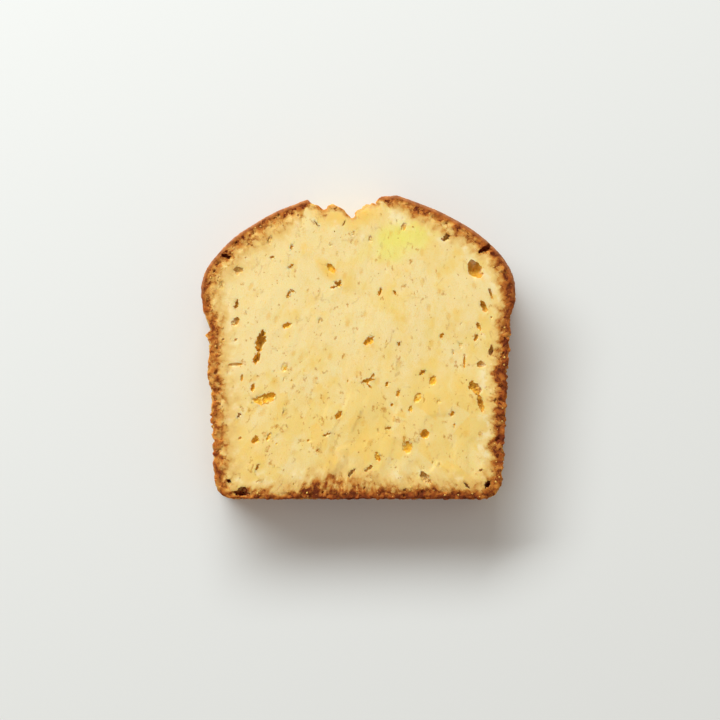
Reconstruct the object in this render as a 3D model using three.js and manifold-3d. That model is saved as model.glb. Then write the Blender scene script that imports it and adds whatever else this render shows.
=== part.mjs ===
// A slice of rum loaf cake, lying on one cut face with the other cut face up, made with three.js.
// Sizes are in millimetres. +X runs across the loaf, +Y towards its domed top, and +Z up, out of the upper face.
// The origin is the middle of the slice's footprint, on the face that it rests on.
import * as THREE from "three";
import { mergeVertices } from "three/addons/utils/BufferGeometryUtils.js";
import Module from "manifold-3d";

// Driving sizes. Heights run from the base crust towards the dome.
const SLICE_WIDTH = 100; // across the crust that swelled over the tin's rim
const SLICE_THICKNESS = 18;
const RIM_WIDTH = 95.5; // across the loaf at the tin's rim
const BASE_WIDTH = 90; // across the loaf just above its base corners
const SHOULDER_HEIGHT = 65.7; // where the slice is widest
const RIM_HEIGHT = 53.6;
const BASE_CORNER = 6.4;
const LEFT_CREST = new THREE.Vector2(-16.6, 95); // the two ends of the dome's crust, beside the split
const RIGHT_CREST = new THREE.Vector2(12.4, 96.5);
const SPLIT_BOTTOM = new THREE.Vector2(-1.9, 89.1);
const CRUST_DEPTH = 4; // how deep the oven browned the crumb, seen on the cut

// How finely the solid is built.
const WALL_STEPS = 190; // columns around the slice
const WALL_ROWS = 7;
const FACE_STEP = 3.9; // grid of the upper cut face
const TOLERANCE = 0.03; // corners that shape less than this are dropped

// Depth of the relief, from its lowest to its highest places, and the spacing of its bumps.
const SKIN_SWELL = 0.5; // the dome's smooth skin
const BASE_SWELL = 0.5; // the flat base
const SIDE_CRAG = 1.5; // the sides, which tore a little as they left the tin
const TEAR_CRAG = 1.7; // the open crumb of the split
const FACE_SWELL = 0.6; // the knife's uneven cut
const FACE_DRAG = 0.7; // crumb that the knife pulled into ridges near the base
const DRAG_TOP = 30; // how far up the slice those ridges run
const SPACING = { wallWide: 6.5, wallFine: 2.6, face: 15, dragAcross: 3.4, dragAlong: 12 };

// The main holes of the upper face: place across and up the slice, length, width, depth, and turn in degrees.
const HOLES = [
  { x: 36.6, y: 73, length: 5.6, width: 5, depth: 3.2, turn: -35 },
  { x: 40.1, y: 79.1, length: 4.5, width: 2.3, depth: 3.5, turn: 35 },
  { x: 28, y: 82.9, length: 2.9, width: 1.9, depth: 3, turn: 70 },
  { x: -31.2, y: 47.2, length: 10.5, width: 3.4, depth: 2.6, turn: 78 },
  { x: -29.9, y: 31.3, length: 8.3, width: 3.6, depth: 1.4, turn: 12 },
  { x: -22.6, y: 54.9, length: 2.9, width: 2.2, depth: 1.2, turn: 20 },
  { x: -38.9, y: 56.1, length: 3.3, width: 3, depth: 1.2, turn: 0 },
  { x: -38.9, y: 61.9, length: 3.8, width: 1.9, depth: 1.8, turn: 75 },
  { x: -37.9, y: 72.4, length: 3.2, width: 2.9, depth: 1, turn: 0 },
  { x: -42, y: 76.9, length: 3.2, width: 1.6, depth: 2.5, turn: -15 },
  { x: 3.5, y: 50.1, length: 3.8, width: 2.5, depth: 1.8, turn: 30 },
  { x: 2.9, y: 37.3, length: 5.1, width: 2.2, depth: 1.2, turn: 12 },
  { x: -6.4, y: 67.9, length: 2.9, width: 2.5, depth: 1.6, turn: -30 },
  { x: 7, y: 66, length: 2.9, width: 1.8, depth: 1.4, turn: 75 },
  { x: 21, y: 20.4, length: 3.4, width: 3, depth: 2.2, turn: 90 },
  { x: 21, y: 6.7, length: 4, width: 3.2, depth: 2.4, turn: -50 },
  { x: 15.6, y: 16.3, length: 4, width: 3.5, depth: 0.8, turn: 80 },
  { x: 39.8, y: 60.9, length: 4, width: 1.9, depth: 1.8, turn: -65 },
  { x: 42, y: 46.9, length: 3.4, width: 1.5, depth: 2.4, turn: 82 },
  { x: 37.9, y: 31.3, length: 11, width: 3.2, depth: 2, turn: -68 },
  { x: 20.4, y: 39.9, length: 2.6, width: 2.4, depth: 1.6, turn: 0 },
  { x: 23.6, y: 37.3, length: 3.5, width: 2.4, depth: 1, turn: 70 },
  { x: -6.1, y: 26.5, length: 3.7, width: 2.2, depth: 1.8, turn: 55 },
  { x: -32.5, y: 18.5, length: 2.6, width: 2.4, depth: 1.8, turn: 0 },
  { x: -33.4, y: 35.1, length: 2.9, width: 1.6, depth: 1.2, turn: 80 },
  { x: -36.3, y: 3.4, length: 5.1, width: 3.4, depth: 4, turn: 10 },
  { x: 40.8, y: 4.6, length: 3.8, width: 2.4, depth: 3.5, turn: 60 },
  { x: 3.2, y: 9.6, length: 3, width: 1.9, depth: 1.2, turn: 30 },
];
const LARGE_HOLE = 4.5; // holes this long are rounder in the mesh
const HOLE_LUMPS = 0.28; // how far a hole's wall strays from an even egg shape
const HOLE_SUNK = 0.15; // share of a hole's depth at which its middle lies

// The small holes between them, and all those of the underside.
const SCATTER = {
  upper: { count: 20, seed: 3, shortest: 1.6, longest: 2.8 },
  lower: { count: 30, seed: 8, shortest: 2, longest: 5.5 },
};

const COLOURS = {
  crumb: new THREE.Color("#f0d68a"),
  browned: new THREE.Color("#d99a4a"),
  crust: new THREE.Color("#a35f2b"),
};

const { lerp, smoothstep, degToRad } = THREE.MathUtils;
const wasm = await Module();
wasm.setup();

// A fixed random value from -1 to 1 for each triple of whole numbers.
function chance(i, j, k) {
  const value = Math.sin(i * 12.9898 + j * 78.233 + k * 37.719) * 43758.5453;
  return 2 * (value - Math.floor(value)) - 1;
}

// Smooth noise from -1 to 1: chance() at the corners of a unit grid, eased between them.
function noise(x, y, z) {
  const [i, j, k] = [x, y, z].map(Math.floor);
  const [u, v, w] = [x - i, y - j, z - k].map((t) => t * t * (3 - 2 * t));
  const alongX = (dj, dk) => lerp(chance(i, j + dj, k + dk), chance(i + 1, j + dj, k + dk), u);
  const alongY = (dk) => lerp(alongX(0, dk), alongX(1, dk), v);
  return lerp(alongY(0), alongY(1), w);
}

// The loaf's cross-section: flat base, tapered sides, crust swelled over the rim, and a dome split at the top.
function sectionPath() {
  const base = BASE_WIDTH / 2;
  const rim = RIM_WIDTH / 2;
  const shoulder = SLICE_WIDTH / 2;
  const path = new THREE.Path();
  path.moveTo(0, 0);
  path.lineTo(base - BASE_CORNER, 0);
  path.quadraticCurveTo(base, 0, base + 0.3, BASE_CORNER);
  path.lineTo(rim, RIM_HEIGHT);
  path.bezierCurveTo(rim, RIM_HEIGHT + 4, shoulder, SHOULDER_HEIGHT - 5, shoulder, SHOULDER_HEIGHT);
  path.bezierCurveTo(shoulder, SHOULDER_HEIGHT + 13, shoulder - 17, 90, RIGHT_CREST.x, RIGHT_CREST.y);
  splitPath(path);
  path.bezierCurveTo(16 - shoulder, 89, -shoulder, SHOULDER_HEIGHT + 12, -shoulder, SHOULDER_HEIGHT);
  path.bezierCurveTo(-shoulder, SHOULDER_HEIGHT - 6, -rim, RIM_HEIGHT + 3, 1 - rim, RIM_HEIGHT);
  path.lineTo(-rim - 0.6, RIM_HEIGHT - 2); // the crumb bulges out again under the overhang
  path.lineTo(0.3 - rim, RIM_HEIGHT - 4);
  path.lineTo(-base, BASE_CORNER);
  path.quadraticCurveTo(-base, 0, BASE_CORNER - base, 0);
  path.closePath();
  return path;
}

// The split, from the right crest to the left: a broken crust end, two soft lips meeting in a V, and the other end.
function splitPath(path) {
  path.quadraticCurveTo(9.5, 96.4, 7, 95.8);
  path.quadraticCurveTo(5.9, 95.2, 6.1, 93.4);
  path.bezierCurveTo(3.5, 93.9, 0.5, 92.8, SPLIT_BOTTOM.x, SPLIT_BOTTOM.y);
  path.bezierCurveTo(-3.2, 91.8, -5.5, 93.7, -9.3, 93.4);
  path.quadraticCurveTo(-10.3, 91.9, -11.5, 92.3);
  path.lineTo(-14.6, 93.3);
  path.lineTo(-15.9, 94.9);
  path.lineTo(LEFT_CREST.x, LEFT_CREST.y);
}

// How far the wall stands in or out at a place. The skin is smooth, and the sides and the split are craggy.
function wallRelief(x, y, z) {
  const aboveRim = smoothstep(y, RIM_HEIGHT - 1, RIM_HEIGHT + 2);
  const aboveBase = smoothstep(y, 0, BASE_CORNER);
  const insideSplit = x > LEFT_CREST.x && x < RIGHT_CREST.x - 5 && y > SPLIT_BOTTOM.y - 3;
  const side = lerp(BASE_SWELL, SIDE_CRAG, aboveBase);
  const depth = insideSplit ? TEAR_CRAG : lerp(side, SKIN_SWELL, aboveRim);
  const wide = noise(x / SPACING.wallWide, y / SPACING.wallWide, z / SPACING.wallWide);
  const fine = noise(x / SPACING.wallFine + 50, y / SPACING.wallFine, z / SPACING.wallFine);
  const share = insideSplit ? 0.6 : lerp(0.55, 0.1, aboveRim); // how much of the relief is fine
  return (depth / 2) * lerp(wide, fine, share);
}

// How far the upper cut lies below the full thickness at a place.
function faceRelief(x, y) {
  const swell = (FACE_SWELL / 2) * (1 + noise(x / SPACING.face, y / SPACING.face, 5));
  const drag = (FACE_DRAG / 2) * (1 + noise(x / SPACING.dragAcross, y / SPACING.dragAlong, 9));
  return swell + drag * (1 - smoothstep(y, DRAG_TOP / 3, DRAG_TOP));
}

// A closed mesh of three.js as a solid that can be joined and cut.
function solidOf(geometry) {
  const bare = geometry.clone();
  bare.deleteAttribute("normal");
  bare.deleteAttribute("uv");
  const merged = mergeVertices(bare, 1e-4);
  const vertProperties = new Float32Array(merged.attributes.position.array);
  const triVerts = new Uint32Array(merged.index.array);
  return new wasm.Manifold(new wasm.Mesh({ numProp: 3, vertProperties, triVerts }));
}

// The crusted wall as a closed tube of rough rings, capped flat. It reaches past the upper cut, which trims it.
function wallSolid(outline) {
  const count = outline.length;
  const top = SLICE_THICKNESS + 2;
  const positions = [];
  for (let row = 0; row <= WALL_ROWS; row++) {
    const z = (top * row) / WALL_ROWS;
    for (let column = 0; column < count; column++) {
      const { x, y } = outline[column];
      const before = outline[(column + count - 1) % count];
      const after = outline[(column + 1) % count];
      const along = new THREE.Vector2().subVectors(after, before).normalize();
      const relief = wallRelief(x, y, z);
      positions.push(x + along.y * relief, y - along.x * relief, z);
    }
  }
  const index = [];
  for (let row = 0; row < WALL_ROWS; row++) {
    for (let column = 0; column < count; column++) {
      const next = (column + 1) % count;
      const [a, b] = [row * count + column, row * count + next];
      index.push(a, b, b + count, a, b + count, a + count);
    }
  }
  const capStart = WALL_ROWS * count;
  const ringOf = (start) =>
    outline.map((_, i) => new THREE.Vector2(positions[3 * (start + i)], positions[3 * (start + i) + 1]));
  for (const [a, b, c] of THREE.ShapeUtils.triangulateShape(ringOf(0), [])) index.push(a, c, b);
  for (const [a, b, c] of THREE.ShapeUtils.triangulateShape(ringOf(capStart), []))
    index.push(capStart + a, capStart + b, capStart + c);
  const geometry = new THREE.BufferGeometry();
  geometry.setAttribute("position", new THREE.Float32BufferAttribute(positions, 3));
  geometry.setIndex(index);
  return solidOf(geometry);
}

// A slab as thick as the slice, flat below and gently uneven above, as a hand-held knife leaves it.
function slabSolid() {
  const margin = 6;
  const width = SLICE_WIDTH + margin;
  const height = RIGHT_CREST.y + margin;
  const columns = Math.round(width / FACE_STEP);
  const rows = Math.round(height / FACE_STEP);
  const slab = new THREE.BoxGeometry(width, height, SLICE_THICKNESS, columns, rows, 1);
  slab.translate(0, RIGHT_CREST.y / 2, SLICE_THICKNESS / 2);
  const position = slab.attributes.position;
  for (let i = 0; i < position.count; i++) {
    if (position.getZ(i) > 0) position.setZ(i, SLICE_THICKNESS - faceRelief(position.getX(i), position.getY(i)));
  }
  return solidOf(slab);
}

// The lumpy bubble that leaves one hole, centred a little under the face that the knife opened it on.
function bubbleSolid({ x, y, length, width, depth, turn }, faceZ, inward) {
  const bubble = new THREE.IcosahedronGeometry(1, length > LARGE_HOLE ? 2 : 1);
  const position = bubble.attributes.position;
  const point = new THREE.Vector3();
  for (let i = 0; i < position.count; i++) {
    point.fromBufferAttribute(position, i);
    const lump = 1 + HOLE_LUMPS * noise(point.x * 1.7 + x, point.y * 1.7 + y, point.z * 1.7);
    position.setXYZ(i, ...point.multiplyScalar(lump).toArray());
  }
  bubble.scale(length / 2, width / 2, (1 - HOLE_SUNK) * depth);
  bubble.rotateZ(degToRad(turn));
  bubble.translate(x, y, faceZ + inward * HOLE_SUNK * depth);
  return solidOf(bubble);
}

// Small holes spread over a face inside the crust. Lower down they stretch upwards, as the batter rose.
function scatteredHoles({ count, seed, shortest, longest }) {
  const holes = [];
  for (let i = 0; i < count; i++) {
    const x = chance(i, 1, seed) * (BASE_WIDTH / 2 - CRUST_DEPTH - 1);
    const roof = RIGHT_CREST.y - 13 - 0.008 * x * x;
    const y = lerp(CRUST_DEPTH + 2, roof, 0.5 + 0.5 * chance(i, 2, seed));
    const length = lerp(shortest, longest, (0.5 + 0.5 * chance(i, 3, seed)) ** 2);
    const slim = lerp(0.9, 0.45, 0.5 + 0.5 * chance(i, 4, seed));
    holes.push({ x, y, length, width: slim * length, depth: 0.5 * length, turn: 90 + 70 * chance(i, 5, seed) });
  }
  return holes;
}

// The whole slice as one solid.
function cakeSolid(outline) {
  let cake = wallSolid(outline).intersect(slabSolid());
  for (const hole of [...HOLES, ...scatteredHoles(SCATTER.upper)]) {
    cake = cake.subtract(bubbleSolid(hole, SLICE_THICKNESS - faceRelief(hole.x, hole.y), -1));
  }
  for (const hole of scatteredHoles(SCATTER.lower)) cake = cake.subtract(bubbleSolid(hole, 0, 1));
  const pieces = cake.asOriginal().simplify(TOLERANCE).decompose().sort((a, b) => b.volume() - a.volume());
  return pieces[0]; // a crumb cut free between two holes is left out
}

// Colours each corner by its distance from the baked outside: crust, then a golden band, then pale crumb.
function paintByDepth(geometry, outline) {
  const position = geometry.attributes.position;
  const colours = [];
  for (let i = 0; i < position.count; i++) {
    const here = new THREE.Vector2(position.getX(i), position.getY(i));
    const depth = Math.min(...outline.map((point) => point.distanceTo(here)));
    const colour = COLOURS.crust.clone();
    colour.lerp(COLOURS.browned, smoothstep(depth, 0.4 * CRUST_DEPTH, 0.8 * CRUST_DEPTH));
    colour.lerp(COLOURS.crumb, smoothstep(depth, 0.7 * CRUST_DEPTH, 1.3 * CRUST_DEPTH));
    colours.push(colour.r, colour.g, colour.b);
  }
  geometry.setAttribute("color", new THREE.Float32BufferAttribute(colours, 3));
}

function cakeSlice() {
  const outline = sectionPath().getSpacedPoints(WALL_STEPS).slice(0, -1);
  const { numProp, numVert, vertProperties, triVerts } = cakeSolid(outline).getMesh();
  const positions = new Float32Array(numVert * 3);
  for (let i = 0; i < numVert; i++) positions.set(vertProperties.subarray(i * numProp, i * numProp + 3), i * 3);
  const geometry = new THREE.BufferGeometry();
  geometry.setAttribute("position", new THREE.BufferAttribute(positions, 3));
  geometry.setIndex(new THREE.BufferAttribute(new Uint32Array(triVerts), 1));
  paintByDepth(geometry, outline);
  geometry.computeVertexNormals();
  geometry.computeBoundingBox();
  const { x, y } = geometry.boundingBox.getCenter(new THREE.Vector3());
  geometry.translate(-x, -y, 0);
  const material = new THREE.MeshStandardMaterial({ vertexColors: true, roughness: 0.85, metalness: 0 });
  const slice = new THREE.Mesh(geometry, material);
  slice.name = "cake_slice";
  return slice;
}

const cake = new THREE.Group();
cake.add(cakeSlice());

export default cake;
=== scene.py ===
import math

import bpy
import numpy as np
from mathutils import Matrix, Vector


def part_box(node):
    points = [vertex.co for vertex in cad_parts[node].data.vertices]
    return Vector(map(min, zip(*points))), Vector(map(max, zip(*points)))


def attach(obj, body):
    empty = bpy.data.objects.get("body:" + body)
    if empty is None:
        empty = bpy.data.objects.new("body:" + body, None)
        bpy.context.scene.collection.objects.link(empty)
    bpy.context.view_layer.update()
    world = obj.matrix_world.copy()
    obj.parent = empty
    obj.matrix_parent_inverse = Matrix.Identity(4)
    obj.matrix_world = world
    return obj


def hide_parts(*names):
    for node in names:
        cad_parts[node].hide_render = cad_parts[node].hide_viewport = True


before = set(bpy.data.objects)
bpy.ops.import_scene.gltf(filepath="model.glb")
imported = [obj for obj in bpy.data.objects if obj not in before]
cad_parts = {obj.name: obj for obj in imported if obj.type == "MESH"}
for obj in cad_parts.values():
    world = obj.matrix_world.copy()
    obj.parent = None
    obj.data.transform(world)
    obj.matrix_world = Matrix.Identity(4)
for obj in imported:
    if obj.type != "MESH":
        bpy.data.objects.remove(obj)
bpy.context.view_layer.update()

# A slice of rum loaf cake, lying on one cut face. Shapes are worked out in millimetres: across the loaf (x),
# up the loaf from its base crust (y) and up through the slice (z). They become metres when a mesh is made.
mm = 0.001
nodeLow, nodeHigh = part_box("cake_slice")
thickness = (nodeHigh.z - nodeLow.z) / mm

sliceShape = {
    "width": 100.0,  # across the crust that swelled over the tin's rim
    "rimWidth": 95.5,
    "baseWidth": 90.0,
    "shoulderHeight": 65.7,
    "rimHeight": 53.6,
    "baseCorner": 6.4,
    "leftCrest": (-16.6, 95.0),  # ends of the dome's crust beside the split
    "rightCrest": (12.4, 96.5),
    "splitBottom": (-1.9, 89.1),
    "outlineStep": 0.45,  # how finely the mesh is made
    "wallRowHeight": 0.55,
    "upperStep": 0.42,
    "lowerStep": 0.85,
    "spare": 3.0,  # how far the blocks that trim the wall reach past it
    "mostTriangles": 192000,
    "sharpAngle": 48,
}


# Curves and noise


def bezierPoints(controls, count):
    # points along a Bezier curve of any degree, without its last one
    t = np.linspace(0, 1, count, endpoint=False)[:, None]
    rows = [np.repeat(np.array([point], float), count, axis=0) for point in controls]
    while len(rows) > 1:
        rows = [a * (1 - t) + b * t for a, b in zip(rows, rows[1:])]
    return rows[0]


def smoothStep(low, high, value):
    t = np.clip((value - low) / (high - low), 0, 1)
    return t * t * (3 - 2 * t)


def chance(i, j, k):
    # a fixed random value from -1 to 1 for each triple of whole numbers
    value = np.sin(i * 12.9898 + j * 78.233 + k * 37.719) * 43758.5453
    return 2 * (value - np.floor(value)) - 1


def noise(x, y, z):
    # smooth noise from -1 to 1, with bumps about one unit apart
    x, y, z = np.broadcast_arrays(np.asarray(x, float), y, z)
    i, j, k = np.floor(x), np.floor(y), np.floor(z)
    u, v, w = (t * t * (3 - 2 * t) for t in (x - i, y - j, z - k))
    total = 0
    for a in (0, 1):
        for b in (0, 1):
            for c in (0, 1):
                weight = (u if a else 1 - u) * (v if b else 1 - v) * (w if c else 1 - w)
                total = total + weight * chance(i + a, j + b, k + c)
    return total


def flakes(x, y, seed, sharpness, slant):
    # facets from -1 to 1, one for each jittered cell of a unit grid, each at its own height and slant
    i, j = np.floor(x), np.floor(y)
    total = weights = 0
    for a in (-1, 0, 1):
        for b in (-1, 0, 1):
            p, q = i + a, j + b
            dx = x - (p + 0.5 + 0.4 * chance(p, q, seed))
            dy = y - (q + 0.5 + 0.4 * chance(p, q, seed + 1))
            weight = np.exp(-sharpness * (dx * dx + dy * dy))
            tilted = dx * chance(p, q, seed + 2) + dy * chance(p, q, seed + 3)
            total = total + weight * (chance(p, q, seed + 4) + slant * tilted)
            weights = weights + weight
    return total / weights


# The loaf's outline and how the oven browned it


def sectionOutline(shape):
    base, rim, shoulder = shape["baseWidth"] / 2, shape["rimWidth"] / 2, shape["width"] / 2
    corner, rimY, shoulderY = shape["baseCorner"], shape["rimHeight"], shape["shoulderHeight"]
    left, right, split = shape["leftCrest"], shape["rightCrest"], shape["splitBottom"]
    curves = [
        [(0, 0), (base - corner, 0)],
        [(base - corner, 0), (base, 0), (base + 0.3, corner)],
        [(base + 0.3, corner), (rim, rimY)],
        [(rim, rimY), (rim, rimY + 4), (shoulder, shoulderY - 5), (shoulder, shoulderY)],
        [(shoulder, shoulderY), (shoulder, shoulderY + 13), (shoulder - 17, 90), right],
        [right, (9.5, 96.4), (7, 95.8)],  # the crust's broken end, then the two soft lips of the split
        [(7, 95.8), (5.9, 95.2), (6.1, 93.4)],
        [(6.1, 93.4), (3.5, 93.9), (0.5, 92.8), split],
        [split, (-3.2, 91.8), (-5.5, 93.7), (-9.3, 93.4)],
        [(-9.3, 93.4), (-10.3, 91.9), (-11.5, 92.3)],
        [(-11.5, 92.3), (-14.6, 93.3)],
        [(-14.6, 93.3), (-15.9, 94.9)],
        [(-15.9, 94.9), left],
        [left, (16 - shoulder, 89), (-shoulder, shoulderY + 12), (-shoulder, shoulderY)],
        [(-shoulder, shoulderY), (-shoulder, shoulderY - 6), (-rim, rimY + 3), (1 - rim, rimY)],
        [(1 - rim, rimY), (-rim - 0.6, rimY - 2)],  # the crumb bulges out again under the overhang
        [(-rim - 0.6, rimY - 2), (0.3 - rim, rimY - 4)],
        [(0.3 - rim, rimY - 4), (-base, corner)],
        [(-base, corner), (-base, 0), (corner - base, 0)],
        [(corner - base, 0), (0, 0)],
    ]
    fine = np.concatenate([bezierPoints(curve, 60) for curve in curves] + [np.zeros((1, 2))])
    travelled = np.concatenate([[0], np.cumsum(np.linalg.norm(np.diff(fine, axis=0), axis=1))])
    count = round(travelled[-1] / shape["outlineStep"])
    stops = np.linspace(0, travelled[-1], count, endpoint=False)
    return np.column_stack([np.interp(stops, travelled, values) for values in fine.T])


outline = sectionOutline(sliceShape)
along = np.roll(outline, -1, axis=0) - np.roll(outline, 1, axis=0)
along /= np.linalg.norm(along, axis=1)[:, None]
outward = np.column_stack([along[:, 1], -along[:, 0]])
print("outline:", len(outline), "points")

# How the oven left the rim, at places around it: how brown, how many millimetres the browning
# reaches in, how suddenly it then ends, how smooth the skin is, how far the cut edge is rounded,
# and how far the knife smeared it.
ovenColumns = ("brownness", "depth", "ending", "skin", "rounding", "smear")
ovenMarks = [
    ((0, 0), (1.04, 5.5, 1.3, 0.1, 0.5, 0.9)),
    ((7, 0), (1.0, 4.0, 1.6, 0.1, 0.4, 0.4)),
    ((36, 0), (1.0, 3.7, 1.7, 0.1, 0.4, 0.3)),
    ((44, 3), (0.65, 5.0, 2.0, 0.2, 0.8, 0.2)),
    ((45.8, 15), (0.83, 4.2, 3.4, 0.1, 0.5, 0.2)),
    ((47, 40), (0.85, 4.1, 3.4, 0.1, 0.5, 0.2)),
    ((47.7, 53), (0.79, 3.7, 3.4, 0.2, 0.5, 0.1)),
    ((50, 66), (0.82, 4.5, 3.4, 0.7, 1.2, 0.1)),
    ((43, 80), (0.77, 4.7, 3.4, 1.0, 1.8, 0.2)),
    ((25, 91.5), (0.75, 4.9, 2.2, 1.0, 1.8, 0.2)),
    ((12.4, 96.5), (0.79, 3.6, 2.0, 0.9, 1.2, 0.1)),
    ((6.9, 95.6), (0.75, 2.8, 2.0, 0.7, 0.8, 0.1)),
    ((5.6, 94.4), (0.5, 0.9, 2.0, 0.3, 0.25, 0.1)),
    ((1, 91), (0.5, 0.8, 2.0, 0.3, 0.25, 0.1)),
    ((-1.9, 89.1), (0.5, 1.0, 2.0, 0.4, 0.4, 0.1)),
    ((-6, 93), (0.5, 2.0, 2.4, 0.4, 0.5, 0.1)),
    ((-9.6, 93), (0.5, 1.5, 2.0, 0.4, 0.4, 0.1)),
    ((-12, 92.3), (0.56, 1.7, 2.0, 0.3, 0.5, 0.1)),
    ((-14.6, 93.6), (0.46, 2.2, 2.0, 0.3, 0.8, 0.1)),
    ((-15.4, 94.6), (0.87, 3.4, 2.0, 0.8, 0.8, 0.1)),
    ((-28, 90), (0.73, 5.4, 1.7, 1.0, 1.2, 0.3)),
    ((-42, 80), (0.7, 5.8, 1.7, 1.0, 1.2, 0.3)),
    ((-50, 66), (0.83, 4.6, 1.8, 0.8, 1.0, 0.2)),
    ((-47.5, 54), (0.68, 4.2, 1.6, 0.2, 0.5, 0.2)),
    ((-46.6, 40), (0.66, 4.4, 1.6, 0.1, 0.5, 0.2)),
    ((-45.5, 15), (0.71, 4.6, 1.6, 0.1, 0.5, 0.2)),
    ((-44, 3), (0.75, 5.0, 1.6, 0.2, 0.8, 0.2)),
    ((-36, 0), (0.82, 2.6, 1.3, 0.1, 0.4, 0.5)),
    ((-20, 0), (0.9, 2.9, 1.3, 0.1, 0.4, 0.8)),
    ((-12, 0), (1.04, 5.1, 1.3, 0.1, 0.4, 0.9)),
]


def ovenTable():
    # the marks spread smoothly around the outline, one row for each of its points
    count = len(outline)
    stops = [int(np.argmin(np.linalg.norm(outline - place, axis=1))) for place, values in ovenMarks]
    order = np.argsort(stops)
    stops = np.array(stops)[order]
    # the crevices under the skin are darkest on the dome and the right side
    table = {"seam": 0.4 + 0.6 * smoothStep(20, 50, outline[:, 1] + 0.5 * outline[:, 0])}
    for column, name in enumerate(ovenColumns):
        values = np.array([values[column] for place, values in ovenMarks])[order]
        table[name] = np.interp(np.arange(count), stops, values, period=count)
    return table


oven = ovenTable()

wallRelief = {
    "skinSwell": 0.5,  # from the lowest to the highest places of each kind of wall
    "baseSwell": 0.5,
    "sideCrag": 1.5,
    "tearCrag": 1.2,
    "tearLean": 0.7,  # of the split's walls, back from their upper edge
    "fineCrag": 0.5,
    "teeth": 1.3,
    "wrinkle": 0.12,
    "skinFine": 0.1,  # the share of the finer swell
    "sideFine": 0.55,
    "tearFine": 0.6,
}


def wallOffset(index, z):
    # how far the wall stands out from the outline's point of that index, at height z
    x, y = outline[index].T
    relief = wallRelief
    rimY, corner = sliceShape["rimHeight"], sliceShape["baseCorner"]
    aboveRim = smoothStep(rimY - 1, rimY + 2, y)
    aboveBase = smoothStep(0, corner, y)
    split = (x > sliceShape["leftCrest"][0]) & (x < sliceShape["rightCrest"][0] - 5) & (y > 86)
    side = relief["baseSwell"] * (1 - aboveBase) + relief["sideCrag"] * aboveBase
    depth = np.where(split, relief["tearCrag"], side * (1 - aboveRim) + relief["skinSwell"] * aboveRim)
    fineAround = relief["sideFine"] * (1 - aboveRim) + relief["skinFine"] * aboveRim
    fineShare = np.where(split, relief["tearFine"], fineAround)
    wide = noise(x / 6.5, y / 6.5, z / 6.5)
    fine = noise(x / 2.6 + 50, y / 2.6, z / 2.6)
    rough = 1 - oven["skin"][index]
    crags = noise(x / 1.3, y / 1.3, z / 1.3) + 0.6 * noise(x / 0.7, y / 0.7, z / 0.7)
    crags = relief["fineCrag"] / 2 * crags
    teeth = relief["teeth"] / 2 * flakes((x + y) / 1.4, z / 1.8, 21, 14, 0.9)
    wrinkles = relief["wrinkle"] / 2 * noise(x / 1.1, y / 1.1, z / 2.4)
    swell = depth / 2 * (wide * (1 - fineShare) + fine * fineShare)
    swell = swell - split * relief["tearLean"] * (1 - smoothStep(thickness - 3, thickness, z))
    return swell + rough * (crags + teeth * (0.35 + 0.65 * aboveBase)) + (1 - rough) * wrinkles


def nearestOnOutline(x, y):
    # index of the nearest point of the outline, and how far inside it each place lies
    index = np.empty(len(x), int)
    batch = 4000
    for start in range(0, len(x), batch):
        part = slice(start, start + batch)
        gaps = (x[part, None] - outline[:, 0]) ** 2 + (y[part, None] - outline[:, 1]) ** 2
        index[part] = gaps.argmin(axis=1)
    dx, dy = x - outline[index, 0], y - outline[index, 1]
    inset = np.where(dx * outward[index, 0] + dy * outward[index, 1] > 0, -1, 1) * np.hypot(dx, dy)
    return index, inset


# The upper cut

cutRelief = {
    "swell": 0.4,  # the knife's uneven cut
    "tear": 0.26,  # upright flakes below the middle
    "tearTop": 46,
    "bumps": 0.05,
    "facets": 0.06,
    "fold": 0.4,  # how much of the drops beside the folds shows
    "crumble": 0.5,  # of the browned rim
}

# Soft steps where the crumb tore: from and to, the drop beside it, and how far the drop reaches.
folds = [
    ((-19, 80), (-6.5, 67), 0.5, 7),
    ((-6.5, 67), (4, 65), 0.35, 5),
    ((-7.2, 20.5), (-6.4, 12), 0.6, 3),
    ((-2.6, 16), (-2, 10), 0.5, 3),
    ((16, 12), (15.6, 5), -0.5, 3),
    ((7.6, 12), (7.4, 5.5), -0.5, 2.5),
    ((-9, 5), (-5, 13), 0.7, 2.5),
    ((-42, 34), (-32, 20), 0.3, 6),
]


def grainLean(x):
    # the crumb's grain leans to the right on the left side of the slice
    return np.interp(x, (-45, -5, 20, 45), (0.5, 0.18, 0.02, -0.12))


def grainAcross(x, y):
    # distance across the grain
    return x - grainLean(x) * (y - 35)


def foldDrop(x, y):
    drop = np.zeros_like(x)
    for start, end, depth, reach in folds:
        start, end = np.array(start, float), np.array(end, float)
        length = np.linalg.norm(end - start)
        ahead = (end - start) / length
        run = (x - start[0]) * ahead[0] + (y - start[1]) * ahead[1]
        side = (x - start[0]) * ahead[1] - (y - start[1]) * ahead[0] + 0.5 * noise(x / 2, y / 2, 40)
        side = side * np.sign(depth)
        ends = smoothStep(-1, 0.25 * length, run) * (1 - smoothStep(0.75 * length, length + 1, run))
        shown = cutRelief["fold"] * abs(depth) * ends
        drop += shown * smoothStep(-1, 1.6, side) * np.exp(-np.maximum(side, 0) / reach)
    return drop


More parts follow.
